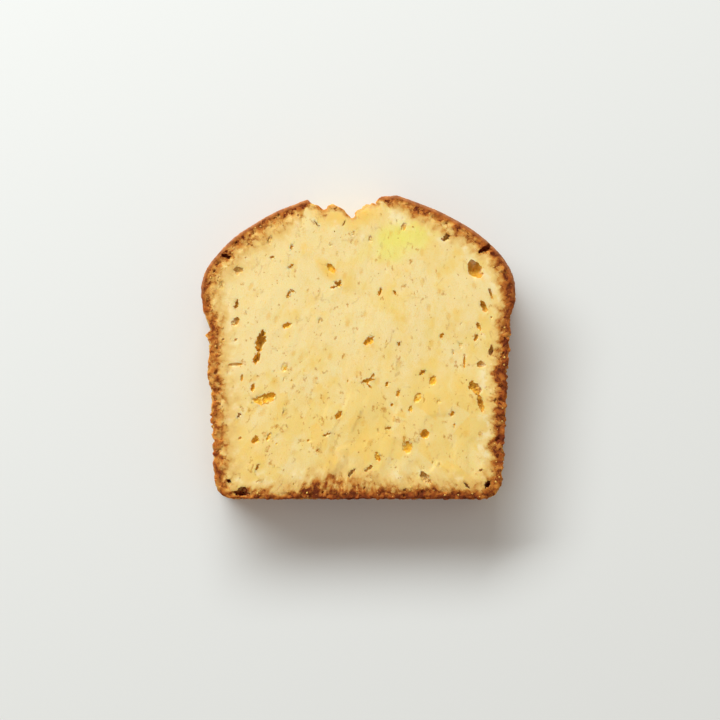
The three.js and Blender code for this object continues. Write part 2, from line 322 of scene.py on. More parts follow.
def upperHeight(x, y):
    index, inset = nearestOnOutline(x, y)
    inset = inset + wallOffset(index, thickness)
    drop = cutRelief["swell"] / 2 * (1 + noise(x / 15, y / 15, 5))
    across = grainAcross(x, y)
    low = 1 - smoothStep(cutRelief["tearTop"] / 2, cutRelief["tearTop"], y)
    torn = (0.1 + low) * (0.25 + 0.75 * smoothStep(-22, -6, x))
    drop += cutRelief["tear"] / 2 * torn * (1 + flakes(across / 4.2, y / 9, 11, 16, 0.5))
    drop += cutRelief["bumps"] / 2 * noise(across / 1.6, y / 2.2, 3)
    drop += cutRelief["facets"] / 2 * flakes(across / 2.2, y / 3, 31, 16, 0.8)
    drop += foldDrop(x, y)
    rim = 1 - smoothStep(0.45, 0.95, inset / oven["depth"][index])
    smooth = oven["skin"][index] * (1 - smoothStep(0.7, 1.3, inset))
    crumble = flakes(x / 1.9, y / 1.9, 51, 14, 1.1) + 0.5 * noise(x / 1.0, y / 1.0, 52)
    crumble = crumble + 0.9 * (1 - smoothStep(0, 0.16, np.abs(noise(x / 2.1, y / 2.1, 53))))
    drop += cutRelief["crumble"] / 2 * rim * (1 - 0.9 * smooth) * (0.7 + crumble)
    rounding = oven["rounding"][index]
    gap = np.clip(rounding - inset, 0, rounding)
    drop += rounding - np.sqrt(rounding ** 2 - gap ** 2)
    return thickness - np.maximum(drop, 0)


def lowerHeight(x, y):
    # the lower cut is pressed flat, with shallow dents
    small = 0.35 * np.maximum(0, noise(x / 2.2, y / 2.2, 60) - 0.35)
    wide = 0.3 * np.maximum(0, noise(x / 9, y / 9, 61) - 0.5)
    return small + wide


# Meshes


def newPiece(name, vertices, faces):
    mesh = bpy.data.meshes.new(name)
    mesh.from_pydata(np.asarray(vertices) * mm, [], faces)
    piece = bpy.data.objects.new(name, mesh)
    bpy.context.scene.collection.objects.link(piece)
    return piece


def bakeModifiers(piece):
    bpy.context.view_layer.update()
    graph = bpy.context.evaluated_depsgraph_get()
    mesh = bpy.data.meshes.new_from_object(piece.evaluated_get(graph))
    piece.modifiers.clear()
    piece.data = mesh
    mesh.name = piece.name


def cut(piece, tool, operation="DIFFERENCE"):
    modifier = piece.modifiers.new("cut", "BOOLEAN")
    modifier.operation = operation
    modifier.solver = "MANIFOLD"
    modifier.object = tool
    bakeModifiers(piece)
    bpy.data.objects.remove(tool)


def store(piece, name, values):
    # one number or one vector for each vertex
    kind, part = ("FLOAT", "value") if np.ndim(values) == 1 else ("FLOAT_VECTOR", "vector")
    data = piece.data.attributes.new(name, kind, "POINT").data
    data.foreach_set(part, np.ascontiguousarray(values, np.float32).ravel())


def triangleCount(piece):
    return sum(len(face.vertices) - 2 for face in piece.data.polygons)


def tubePiece(name, rings):
    rows, count = len(rings), len(rings[0])
    faces = [tuple(reversed(range(count)))]
    for row in range(rows - 1):
        for column in range(count):
            beside = (column + 1) % count
            low, high = row * count, (row + 1) * count
            faces.append((low + column, low + beside, high + beside, high + column))
    faces.append(tuple(range((rows - 1) * count, rows * count)))
    return newPiece(name, np.concatenate(rings), faces)


def wallPiece():
    # the crusted wall, which reaches past both cuts
    rows = math.ceil((thickness + 2) / sliceShape["wallRowHeight"])
    index = np.arange(len(outline))
    rings = []
    for z in np.linspace(-1, thickness + 1, rows):
        ring = outline + outward * wallOffset(index, z)[:, None]
        rings.append(np.column_stack([ring, np.full(len(ring), z)]))
    return tubePiece("wall", rings)


def gridBlock(name, step, heightOf, bottom):
    # a block with a fine top at the given heights, and a single face below it
    spare = sliceShape["spare"]
    halfWidth = sliceShape["width"] / 2 + spare
    height = sliceShape["rightCrest"][1] + spare
    columns, rows = round(2 * halfWidth / step), round((height + spare) / step)
    acrossStops = np.linspace(-halfWidth, halfWidth, columns + 1)
    x, y = np.meshgrid(acrossStops, np.linspace(-spare, height, rows + 1))
    x, y = x.ravel(), y.ravel()
    vertices = np.column_stack([x, y, heightOf(x, y)])
    across = columns + 1
    faces = []
    for row in range(rows):
        for column in range(columns):
            first = row * across + column
            faces.append((first, first + 1, first + across + 1, first + across))
    front = list(range(columns))
    right = [row * across + columns for row in range(rows)]
    back = [rows * across + column for column in range(columns, 0, -1)]
    left = [row * across for row in range(rows, 0, -1)]
    border = front + right + back + left
    below = np.column_stack([x[border], y[border], np.full(len(border), bottom)])
    start = len(vertices)
    for number in range(len(border)):
        beside = (number + 1) % len(border)
        faces.append((border[beside], border[number], start + number, start + beside))
    faces.append(tuple(start + number for number in reversed(range(len(border)))))
    return newPiece(name, np.vstack([vertices, below]), faces)


def bareSlice():
    cake = wallPiece()
    cake.name = "cakeSlice"
    bottom = -1 - sliceShape["spare"]
    cut(cake, gridBlock("upperBlock", sliceShape["upperStep"], upperHeight, bottom), "INTERSECT")
    cut(cake, gridBlock("lowerBlock", sliceShape["lowerStep"], lowerHeight, bottom))
    return cake


# Holes, each a lumpy bubble

# The main holes of the upper cut: place, length, width, depth, turn in degrees and lumpiness.
mainHoles = [
    (37.1, 72.6, 6.0, 4.6, 2.4, -60, 0.6),
    (40.1, 79.1, 4.8, 2.0, 2.6, 35, 0.6),
    (41.6, 80.2, 2.4, 1.3, 2.2, 50, 0.5),
    (28, 82.9, 2.9, 2.0, 2, 60, 0.9),
    (26.9, 82.2, 1.6, 0.8, 1.4, -40, 0.9),
    (-31.0, 49.4, 6.4, 3.0, 2.1, 80, 0.9),
    (-30.4, 52.2, 3.0, 1.6, 1.8, 60, 0.9),
    (-32.2, 44.4, 4.6, 1.7, 1.6, 70, 0.9),
    (-29.9, 31.3, 8.3, 3.6, 0.55, 12, 0.8),
    (-28.0, 32.3, 4.6, 2.2, 0.85, 25, 0.8),
    (-22.6, 54.9, 3.0, 1.9, 0.8, 20, 0.8),
    (-38.9, 56.1, 3.4, 2.4, 0.9, 60, 0.9),
    (-38.6, 61.6, 3.6, 1.3, 1.1, 75, 1.1),
    (-37.9, 72.4, 3.4, 2.6, 0.9, 0, 1.1),
    (-42, 76.9, 3.2, 1.6, 2.2, -15, 0.8),
    (3.5, 50.1, 3.8, 2.4, 1.0, 30, 1.0),
    (2.4, 49.2, 1.9, 1.3, 0.9, 80, 1.0),
    (2.9, 37.3, 5.1, 1.3, 0.9, 12, 1.3),
    (4.2, 38.4, 3.6, 0.8, 0.9, 55, 1.2),
    (3.2, 35.8, 2.8, 0.7, 0.8, -40, 1.2),
    (-6.4, 67.9, 3.2, 1.3, 1.3, -40, 1.2),
    (-6.2, 68.2, 2.8, 1.1, 1.2, 55, 1.2),
    (-7.6, 67.0, 2.2, 0.8, 1.1, 20, 1.2),
    (6.9, 65.6, 2.9, 1.2, 0.9, 75, 1.1),
    (11.6, 65.3, 2.0, 0.8, 0.8, -60, 1.1),
    (21, 20.4, 3.2, 3, 1.5, 90, 0.6),
    (21, 6.9, 3.9, 2.5, 1.5, -50, 1.0),
    (22.2, 5.5, 2.2, 1.8, 1.3, 0, 0.8),
    (15.6, 16.3, 4.0, 3.6, 0.5, 80, 0.6),
    (39.8, 60.9, 4, 1.9, 1.5, -65, 0.6),
    (42.0, 65.0, 3.6, 1.0, 0.9, -70, 0.8),
    (38.2, 54.5, 3, 1.3, 0.7, -65, 0.8),
    (37.3, 51.0, 2.4, 1.2, 0.8, 60, 1.0),
    (42, 46.9, 3.6, 1.5, 1.9, 82, 0.6),
    (38.9, 42.4, 2.6, 2.2, 0.9, 0, 0.8),
    (37.2, 34.8, 4.8, 2.6, 1.1, -60, 1.1),
    (38.6, 30.2, 6.4, 1.8, 1.4, -72, 0.9),
    (35.6, 35.8, 3.0, 1.2, 1.2, 70, 1.2),
    (20.4, 39.9, 2.8, 1.6, 1.0, 30, 1.5),
    (23.6, 37.3, 3.5, 2.4, 0.6, 70, 0.5),
    (18.8, 31.9, 3.8, 2.2, 0.4, 60, 0.6),
    (16.5, 28.3, 2.4, 1.4, 0.5, 75, 0.8),
    (33.6, 43.2, 4.2, 0.7, 0.7, 88, 0.8),
    (-6.1, 26.5, 3.6, 2.0, 1.2, 55, 1.0),
    (-32.5, 18.5, 2.8, 2.2, 1.2, 30, 1.0),
    (-28.2, 19.6, 3.0, 1.4, 0.4, 60, 0.9),
    (-38.9, 42.4, 4.8, 1.2, 0.6, 3, 0.3),
    (-33.4, 35.1, 2.9, 1.4, 0.8, 80, 0.8),
    (-36.8, 38.2, 2.6, 1.0, 0.4, 85, 0.6),
    (-37.8, 26.2, 2.0, 1.2, 0.9, 60, 1.2),
    (-36.8, 2.0, 5.4, 2.6, 2.4, 10, 1.2),
    (-40.8, 5.6, 2.2, 1.3, 2.0, -30, 1.0),
    (40.8, 4.6, 3.2, 1.8, 2.4, 60, 1.0),
    (34.4, 4.0, 2.8, 0.9, 1.0, -45, 0.8),
    (38.7, 9.0, 1.3, 0.9, 1.0, 20, 0.8),
    (-8.6, 73, 4.4, 2.0, 0.6, -48, 0.6),
    (6.1, 13.1, 3.4, 2.0, 0.8, -75, 1.1),
    (3.2, 9.6, 3.2, 1.4, 0.8, 30, 1.0),
    (-2.2, 8.3, 3.4, 1.2, 1.1, 50, 1.1),
    (-10, 20.2, 3.2, 0.9, 0.8, 25, 1.2),
    (-12.8, 15.4, 1.6, 0.6, 0.7, 60, 1.0),
    (-32.0, 9.8, 2.8, 1.0, 0.9, 60, 1.2),
    (-22.0, 64.8, 3.0, 1.1, 0.6, 60, 1.5),
    (-20.9, 65.8, 2.0, 0.8, 0.5, -20, 1.5),
    (-21.4, 73.6, 2.2, 1.3, 0.6, 40, 1.5),
    (-27.4, 76.6, 1.5, 0.9, 0.7, 0, 1.3),
    (-21.2, 79.8, 2.0, 1.0, 0.6, 80, 1.4),
    (-13.2, 87.3, 2.6, 0.7, 0.8, -50, 1.5),
    (-4.4, 87.6, 2.2, 0.5, 0.8, 60, 1.0),
    (26.4, 51.6, 2.2, 1.2, 0.8, 50, 1.3),
    (12.8, 48.8, 2.2, 0.9, 0.8, -50, 1.5),
    (9.1, 36.2, 1.8, 1.2, 0.6, 80, 1.0),
    (12.6, 33.2, 2.4, 1.5, 0.6, 60, 1.0),
    (10.6, 29.6, 1.1, 1.0, 0.8, 0, 0.8),
    (9.5, 22.3, 2.0, 1.2, 0.7, 20, 1.4),
    (29.7, 26.8, 2.0, 1.3, 0.7, 60, 1.0),
]

# Small holes are drawn at random, kind by kind: how many, how long, how wide for their length, how deep for
# their width, and how lumpy. Baked crumbs are drawn in the same way.
smallHoles = {
    "slits": dict(count=34, length=(0.8, 2.2), width=(0.22, 0.4), depth=0.5, lumps=(1.2, 2.0), seed=5),
    "cells": dict(count=10, length=(1.5, 3.4), width=(0.45, 0.8), depth=0.16, lumps=(0.6, 1.2), seed=4),
    "pores": dict(count=24, length=(0.6, 1.6), width=(0.4, 0.85), depth=0.45, lumps=(0.7, 1.5), seed=3),
    "pinholes": dict(count=40, length=(0.4, 0.6), width=(0.7, 1.0), depth=0.9, lumps=(0.2, 0.6), seed=2),
    "rind": dict(count=60, length=(0.8, 2.4), width=(0.3, 0.7), depth=0.5, lumps=(0.7, 1.6), seed=6),
    "lower": dict(count=380, length=(1.0, 5.2), width=(0.45, 0.95), depth=0.6, lumps=(0.4, 1.0), seed=7),
    "sides": dict(count=380, length=(0.8, 2.6), width=(0.4, 0.9), depth=0.5, lumps=(0.5, 1.2), seed=8),
    "tear": dict(count=60, length=(0.7, 2.0), width=(0.4, 0.9), depth=0.5, lumps=(0.5, 1.2), seed=9),
    "crumbs": dict(count=110, length=(0.3, 0.8), width=(0.6, 1.0), depth=0.4, lumps=(0.5, 1.0), seed=12),
}

holeRules = {
    "faceTries": 9000,
    "wallTries": 5000,
    "apart": 1.1,  # how far a small hole keeps from others, for the sum of their half lengths
    "mainApart": 1.4,  # and how far the main holes that are cut at one time do
    "sunk": 0.17,  # how far a main hole's middle lies below the cut, for its depth
    "edgeMargin": 1.2,  # of the holes in the wall, from both cuts
}


def mainBubbles():
    x, y, length, width, depth, turn, lumps = np.array(mainHoles).T
    middle = np.column_stack([x, y, upperHeight(x, y) - holeRules["sunk"] * depth])
    reach = np.column_stack([length / 2, width / 2, 0.85 * depth])
    return {"middle": middle, "reach": reach, "turn": np.radians(turn), "lumps": lumps}


def clearTurns(holes):
    # sorts the holes into turns, in each of which none touches another
    turns = []
    for number, (middle, reach) in enumerate(zip(holes["middle"], holes["reach"])):
        for turn in turns:
            gaps = np.linalg.norm(holes["middle"][turn] - middle, axis=1)
            if np.all(gaps > holeRules["mainApart"] * (holes["reach"][turn].max(axis=1) + reach.max())):
                turn.append(number)
                break
        else:
            turns.append([number])
    return turns


def thinnedHoles(kind, middle, turn, likely, taken, upright=False):
    # keeps the kind's count of the tried places, each clear of the holes in taken, to which it is added
    plan = smallHoles[kind]
    random = np.random.default_rng(plan["seed"])
    tried = len(middle)
    shortest, longest = plan["length"]
    length = shortest * (longest / shortest) ** (random.random(tried) ** 1.6)
    width = length * random.uniform(*plan["width"], tried)
    wanted = random.random(tried) < likely
    kept = []
    for number in np.flatnonzero(wanted):
        spot = np.append(middle[number], length[number] / 2)
        others = np.array(taken)
        gaps = np.linalg.norm(others[:, :3] - spot[:3], axis=1)
        if np.any(gaps < holeRules["apart"] * (others[:, 3] + spot[3])):
            continue
        taken.append(spot)
        kept.append(number)
        if len(kept) == plan["count"]:
            break
    length, width, depth = length[kept], width[kept], plan["depth"] * width[kept]
    flat = np.column_stack([length / 2, width / 2, depth])
    reach = flat[:, [0, 2, 1]] if upright else flat
    lumps = random.uniform(*plan["lumps"], len(kept))
    return {"middle": middle[kept], "reach": reach, "turn": turn[kept], "lumps": lumps}


def faceHoles(kind, likelyAt, heightOf, taken):
    # small holes in the upper or lower cut, as likely as likelyAt says, mostly turned along the grain
    random = np.random.default_rng(smallHoles[kind]["seed"] + 100)
    tries = holeRules["faceTries"]
    x = random.uniform(-50, 50, tries)
    y = random.uniform(0, 97, tries)
    index, inset = nearestOnOutline(x, y)
    middle = np.column_stack([x, y, heightOf(x, y)])
    turn = np.pi / 2 - grainLean(x) + random.normal(0, 0.5, tries)
    return thinnedHoles(kind, middle, turn, likelyAt(x, y, inset, index), taken)


def wallHoles(kind, likelyAt, taken):
    # small holes in the wall around the slice
    random = np.random.default_rng(smallHoles[kind]["seed"] + 100)
    tries, margin = holeRules["wallTries"], holeRules["edgeMargin"]
    index = random.integers(0, len(outline), tries)
    z = random.uniform(margin, thickness - margin, tries)
    middle = np.column_stack([outline[index] + outward[index] * wallOffset(index, z)[:, None], z])
    turn = np.arctan2(along[index, 1], along[index, 0])
    return thinnedHoles(kind, middle, turn, likelyAt(index), taken, upright=True)


def upperLikely(x, y, inset, index):
    band = 0.8 * oven["depth"][index]
    calm = smoothStep(30, 60, y) * smoothStep(10, 22, inset)  # few show above the middle
    return (inset > band) * (0.75 - 0.5 * calm)


def rindLikely(x, y, inset, index):
    return (inset > 0.9) * (inset < 0.8 * oven["depth"][index]) * 0.9


def lowerLikely(x, y, inset, index):
    return (inset > 1.5) * 0.6


def crumbsLikely(x, y, inset, index):
    # baked crumbs cling to the rind, and a few lie further in
    rind = (inset > 0.5 + 0.8 * oven["skin"][index]) * (inset < oven["depth"][index])
    return rind * 0.9 + (inset > 6) * 0.01


def sidesLikely(index):
    return 1 - smoothStep(0.15, 0.5, oven["skin"][index])


def tearLikely(index):
    x, y = outline[index].T
    return (x > sliceShape["leftCrest"][0] + 1) & (x < 6) & (y > 86)


# Node trees


def addNode(tree, kind, inputs=None, **settings):
    # a node with its inputs, by name or number, each a value or another node's socket
    node = tree.nodes.new(kind)
    for name, value in settings.items():
        setattr(node, name, value)
    for name, value in (inputs or {}).items():
        if isinstance(value, bpy.types.NodeSocket):
            tree.links.new(value, node.inputs[name])
        else:
            node.inputs[name].default_value = value
    return node


def newTree(name, kind, inputs, outputKind, outputs):
    # a node group with rows of name, kind and value for its inputs, and with outputs of one kind
    tree = bpy.data.node_groups.new(name, kind)
    for socket, socketKind, value in inputs:
        made = tree.interface.new_socket(socket, in_out="INPUT", socket_type=socketKind)
        if value is not None:
            made.default_value = value
    for socket in outputs:
        tree.interface.new_socket(socket, in_out="OUTPUT", socket_type=outputKind)
    return tree, tree.nodes.new("NodeGroupInput").outputs


def giveOut(tree, values):
    result = tree.nodes.new("NodeGroupOutput").inputs
    for name, value in values.items():
        tree.links.new(value, result[name])
    return tree


def runTree(piece, tree, values):
    # puts the tree on the piece, sets its inputs by identifier and applies it
    modifier = piece.modifiers.new(tree.name, "NODES")
    modifier.node_group = tree
    for item in tree.interface.items_tree:
        if item.item_type == "SOCKET" and item.in_out == "INPUT" and item.name in values:
            modifier[item.identifier] = values[item.name]
    bakeModifiers(piece)


def calc(tree, operation, first, second=0.0):
    return addNode(tree, "ShaderNodeMath", {0: first, 1: second}, operation=operation).outputs[0]


def times(tree, first, *others):
    for other in others:
        first = calc(tree, "MULTIPLY", first, other)
    return first


def plus(tree, first, *others):
    for other in others:
        first = calc(tree, "ADD", first, other)
    return first


def minus(tree, first, second):
    return calc(tree, "SUBTRACT", first, second)


def vectorCalc(tree, operation, first, second):
    return addNode(tree, "ShaderNodeVectorMath", {0: first, 1: second}, operation=operation).outputs[0]


def scaled(tree, vector, factor):
    # the factor is three numbers, one for each direction, or one number or socket for all
    if isinstance(factor, tuple):
        return vectorCalc(tree, "MULTIPLY", vector, factor)
    return addNode(tree, "ShaderNodeVectorMath", {0: vector, 3: factor}, operation="SCALE").outputs[0]


def carried(tree, name, kind):
    return addNode(tree, "GeometryNodeInputNamedAttribute", {"Name": name}, data_type=kind).outputs[0]


def lumpyBubbles():
    # a lumpy bubble on each point, of the size, turn and lumpiness that the point carries
    inputs = [
        ("Points", "NodeSocketGeometry", None),
        ("Roundness", "NodeSocketInt", 2),
        ("Lump Size", "NodeSocketFloat", 1.3),
        ("Seed", "NodeSocketFloat", 4.0),
        ("Material", "NodeSocketMaterial", None),
    ]
    tree, given = newTree("lumpyBubbles", "GeometryNodeTree", inputs, "NodeSocketGeometry", ["Bubbles"])
    girth, lumps = carried(tree, "girth", "FLOAT"), carried(tree, "lumps", "FLOAT")
    ball = addNode(tree, "GeometryNodeMeshIcoSphere", {"Radius": 1.0, "Subdivisions": given["Roundness"]})
    rotation = addNode(tree, "FunctionNodeEulerToRotation", {0: carried(tree, "turn", "FLOAT_VECTOR")})
    placing = {
        "Points": given["Points"],
        "Instance": ball.outputs[0],
        "Rotation": rotation.outputs[0],
        "Scale": carried(tree, "reach", "FLOAT_VECTOR"),
    }
    placed = addNode(tree, "GeometryNodeInstanceOnPoints", placing).outputs[0]
    real = addNode(tree, "GeometryNodeRealizeInstances", {0: placed}).outputs[0]
    where = addNode(tree, "GeometryNodeInputPosition").outputs[0]
    lumping = {
        "Vector": scaled(tree, where, calc(tree, "DIVIDE", 1.0, girth)),
        "W": given["Seed"],
        "Scale": given["Lump Size"],
        "Detail": 2.0,
    }
    bumps = addNode(tree, "ShaderNodeTexNoise", lumping, noise_dimensions="4D").outputs["Color"]
    centred = vectorCalc(tree, "SUBTRACT", bumps, (0.5, 0.5, 0.5))
    offset = scaled(tree, centred, times(tree, girth, lumps, 2.0))
    moved = addNode(tree, "GeometryNodeSetPosition", {"Geometry": real, "Offset": offset}).outputs[0]
    dressed = addNode(tree, "GeometryNodeSetMaterial", {"Geometry": moved, "Material": given["Material"]})
    return giveOut(tree, {"Bubbles": dressed.outputs[0]})


def bubblePiece(name, holes, tree, material, roundness):
    piece = newPiece(name, holes["middle"], [])
    level = np.zeros(len(holes["middle"]))
    store(piece, "reach", holes["reach"] * mm)
    store(piece, "turn", np.column_stack([level, level, holes["turn"]]))
    store(piece, "girth", np.cbrt(holes["reach"].prod(axis=1)) * mm)
    store(piece, "lumps", holes["lumps"])
    runTree(piece, tree, {"Roundness": roundness, "Material": material})
    return piece


# Colours


def paint(red, green, blue):
    # a colour given in screen values, as the shader wants it
    def linear(value):
        value = value / 255
        return value / 12.92 if value <= 0.04045 else ((value + 0.055) / 1.055) ** 2.4

    return (linear(red), linear(green), linear(blue), 1.0)


cakeColours = {
    "crumb": paint(234, 208, 129),
    "crumbPale": paint(236, 217, 158),
    "crumbDeep": paint(238, 199, 96),
    "crumbWhite": paint(242, 228, 184),
    "crumbBrown": paint(178, 112, 52),  # of the baked crumbs
    "lemon": paint(228, 221, 102),
    "cell": paint(230, 178, 62),
    # painted shade: colours for inside the holes, which stand in for their shade and the light bounced in
    # them
    "hole": paint(233, 178, 56),
    "holePale": paint(215, 159, 54),
    "holeFloor": paint(206, 155, 56),
    "holeShallow": paint(239, 201, 96),
    # painted shade: the dark red-brown of the crust's pits
    "crustHoleShade": paint(138, 52, 14),
    # painted shade: the darker crumb of the walls below their top edge
    "wallShadeCrumb": paint(196, 148, 72),
    "skin": paint(158, 102, 62),
    "skinDark": paint(118, 70, 40),
    "skinPale": paint(188, 126, 70),
    "mark": paint(178, 110, 14),
    "stain": paint(232, 172, 52),
}

# From hardly browned to darkest: how far along, the colour, and how much it hides the crumb's own colour.
browning = [
    (0.0, paint(232, 200, 124), 0.0),
    (0.12, paint(228, 194, 118), 0.75),
    (0.25, paint(220, 180, 102), 1.0),
    (0.38, paint(209, 157, 78), 1.0),
    (0.5, paint(200, 137, 60), 1.0),
    (0.6, paint(188, 118, 43), 1.0),
    (0.72, paint(170, 95, 31), 1.0),
    (0.84, paint(148, 73, 18), 1.0),
    (1.0, paint(105, 41, 7), 1.0),
]

cakeFinish = {
    "lobeSize": 0.9,  # of the browned crumb, in millimetres
    "mottle": 1.3,  # how much the browning differs from lobe to lobe
    "crevices": 0.36,  # how much darker or paler these are than the browned crumb around them
    # painted highlight: how much paler the crust's grains are
    "glintGrains": 0.1,
    "blotches": 0.5,
    "seam": 0.42,
    "holeGlow": 0.07,  # painted light in the holes, for the light that the crumb lets through
    "crumbRoughness": 0.85,
    "skinRoughness": 0.5,
    "bumpStrength": 0.5,
    "bumpHeight": 0.35,
    "scatter": 0.6,
    "scatterReach": 1.6,
    "scatterColours": (1.0, 0.65, 0.35),
    "shine": 0.2,
}

crumbFinish = {"lobeSize": 0.7, "roughness": 0.7, "bumpStrength": 0.4, "bumpHeight": 0.1, "shine": 0.3}


# Parts of the materials


def mixPaint(tree, share, first, second):
    return addNode(tree, "ShaderNodeMix", {0: share, 6: first, 7: second}, data_type="RGBA").outputs[2]


def layered(tree, colour, layers):
    # each layer is a share and the name of the colour that goes over the others
    for share, name in layers:
        colour = mixPaint(tree, share, colour, cakeColours[name])
    return colour


def mixValues(tree, share, first, second):
    return addNode(tree, "ShaderNodeMix", {0: share, 2: first, 3: second}, data_type="FLOAT").outputs[0]


def fade(tree, value, low, high, atLow=0.0, atHigh=1.0):
    # a soft step, as the value goes from low to high
    inputs = {0: value, 1: low, 2: high, 3: atLow, 4: atHigh}
    return addNode(tree, "ShaderNodeMapRange", inputs, interpolation_type="SMOOTHSTEP").outputs[0]


def noiseTone(tree, place, scale, detail=2.0, roughness=0.5):
    inputs = {"Vector": scaled(tree, place, scale), "Scale": 1.0, "Detail": detail, "Roughness": roughness}
    return addNode(tree, "ShaderNodeTexNoise", inputs).outputs[0]


def pushes(tree, place, scale, detail):
    # noise for each direction, by which places are pushed about
    inputs = {"Vector": scaled(tree, place, scale), "Scale": 5.0, "Detail": detail}
    return addNode(tree, "ShaderNodeTexNoise", inputs).outputs["Color"]


def pushed(tree, place, push, reach):
    return vectorCalc(tree, "ADD", place, scaled(tree, push, reach))


def cells(tree, place, scale, feature="F1"):
    inputs = {"Vector": scaled(tree, place, scale), "Scale": 1.0}
    return addNode(tree, "ShaderNodeTexVoronoi", inputs, feature=feature).outputs


def cellTone(tree, cell):
    return addNode(tree, "ShaderNodeSeparateColor", {0: cell["Color"]}).outputs[0]


def spots(tree, cell, share, near, far):
    # a round spot in some of the cells, which fades out between two distances from its middle
    chosen = calc(tree, "LESS_THAN", cellTone(tree, cell), share)
    return times(tree, fade(tree, cell["Distance"], near, far, 1.0, 0.0), chosen)


def lines(tree, tone, thin, wide):
    # thin lines where a noise crosses its middle value
    return fade(tree, calc(tree, "ABSOLUTE", minus(tree, tone, 0.5)), thin, wide, 1.0, 0.0)


def ramp(tree, value, stops):
    # colours and alpha along a value from 0 to 1
    node = addNode(tree, "ShaderNodeValToRGB", {0: value})
    elements = node.color_ramp.elements
    while len(elements) < len(stops):
        elements.new(0.5)
    for element, (position, colour, alpha) in zip(elements, stops):
        element.position = position
        element.color = (*colour[:3], alpha)
    return node.outputs["Color"], node.outputs["Alpha"]


def crumbGrain():
    # the fine open texture of the crumb: a soft tone, torn marks with stains around them, thin-walled cells,
    # flakes and a height
    inputs = [
        ("Place", "NodeSocketVector", None),
        ("Grain", "NodeSocketVector", None),
        ("Mark Share", "NodeSocketFloat", 0.4),
    ]
    outputs = ["Tone", "Marks", "Stains", "Cells", "Flakes", "Height"]
    tree, given = newTree("crumbGrain", "ShaderNodeTree", inputs, "NodeSocketFloat", outputs)
    place, grain = given["Place"], given["Grain"]
    push = pushes(tree, place, 1.1, 2.0)
    shifted = pushed(tree, grain, push, (1.2, 2.0, 1.2))
    hair = noiseTone(tree, shifted, (0.62, 0.36, 0.62), 3.0, 0.6)
    where = noiseTone(tree, vectorCalc(tree, "ADD", place, (7, 3, 5)), (0.55, 0.42, 0.55))
    torn = plus(tree, where, minus(tree, given["Mark Share"], 1.0))
    strokes = times(tree, lines(tree, hair, 0.012, 0.04), fade(tree, torn, 0.0, 0.04))
    beside = times(tree, calc(tree, "ABSOLUTE", minus(tree, hair, 0.5)), 1.2)
    stains = fade(tree, minus(tree, torn, beside), -0.06, 0.06)
    specks = spots(tree, cells(tree, place, 0.5), 0.35, 0.06, 0.12)
    slow = noiseTone(tree, shifted, (0.13, 0.1, 0.13))
    seen = fade(tree, noiseTone(tree, place, 0.3), 0.54, 0.62, 0.0, 0.5)
    hairlines = times(tree, lines(tree, slow, 0.003, 0.012), seen)
    strokes = calc(tree, "MAXIMUM", calc(tree, "MAXIMUM", strokes, specks), hairlines)
    walled = cells(tree, pushed(tree, grain, push, (2.2, 3.0, 2.2)), (0.3, 0.2, 0.3))
    thinWalled = spots(tree, walled, 0.3, 0.2, 0.27)
    flake = cells(tree, pushed(tree, grain, push, (1.4, 2.0, 1.4)), (0.22, 0.13, 0.22))
    fine = noiseTone(tree, place, (3.6, 3.2, 3.6), 4.0, 0.62)
    height = minus(tree, minus(tree, fine, times(tree, strokes, 0.3)), times(tree, thinWalled, 0.25))
    results = {
        "Tone": noiseTone(tree, grain, (0.8, 0.55, 0.8), 4.0, 0.6),
        "Marks": strokes,
        "Stains": stains,
        "Cells": thinWalled,
        "Flakes": cellTone(tree, flake),
        "Height": height,
    }
    return giveOut(tree, results)


def rindGrain():
    # browned crumb: lobes of differing tone, dark crevices between some, pale grains that are a painted
    # highlight on its lumps, and a height
    inputs = [("Place", "NodeSocketVector", None), ("Lobe Size", "NodeSocketFloat", 1.0)]
    outputs = ["Tone", "Crevices", "Glint Grains", "Height"]
    tree, given = newTree("rindGrain", "ShaderNodeTree", inputs, "NodeSocketFloat", outputs)
    place = scaled(tree, given["Place"], calc(tree, "DIVIDE", 1.0, given["Lobe Size"]))
    shifted = pushed(tree, place, pushes(tree, place, 0.8, 4.0), 2.6)
    edge = cells(tree, shifted, 0.45, "DISTANCE_TO_EDGE")["Distance"]
    broken = fade(tree, noiseTone(tree, place, 0.45), 0.46, 0.54)
    crevices = times(tree, fade(tree, edge, 0.02, 0.09, 1.0, 0.0), broken)
    pits = spots(tree, cells(tree, shifted, 0.75), 0.16, 0.14, 0.34)
    crevices = calc(tree, "MAXIMUM", crevices, pits)
    lit = fade(tree, noiseTone(tree, place, 0.5), 0.5, 0.62)
    glintGrains = times(tree, fade(tree, cells(tree, shifted, 1.5)["Distance"], 0.12, 0.42, 1.0, 0.0), lit)
    tone = noiseTone(tree, place, 0.36, 4.0, 0.58)
    tone = mixValues(tree, 0.25, tone, cellTone(tree, cells(tree, shifted, 0.45)))
    height = minus(tree, plus(tree, tone, times(tree, glintGrains, 0.3)), crevices)
    return giveOut(tree, {"Tone": tone, "Crevices": crevices, "Glint Grains": glintGrains, "Height": height})


def stored(tree, name):
    # a value that storeBake left on the mesh
    return addNode(tree, "ShaderNodeAttribute", attribute_name=name).outputs["Fac"]


def useGroup(tree, group, inputs):
    return addNode(tree, "ShaderNodeGroup", inputs, node_tree=group).outputs


def newMaterial(name):
    material = bpy.data.materials.new(name)
    material.use_nodes = True
    tree = material.node_tree
    return material, tree, tree.nodes["Principled BSDF"]


def millimetres(tree):
    coordinates = addNode(tree, "ShaderNodeTexCoord").outputs["Object"]
    return scaled(tree, coordinates, 1 / mm)


def addBump(tree, shader, height, finish):
    inputs = {"Height": height, "Strength": finish["bumpStrength"], "Distance": finish["bumpHeight"] * mm}
    tree.links.new(addNode(tree, "ShaderNodeBump", inputs).outputs[0], shader.inputs["Normal"])
    shader.inputs["Specular IOR Level"].default_value = finish["shine"]


# The cake's material


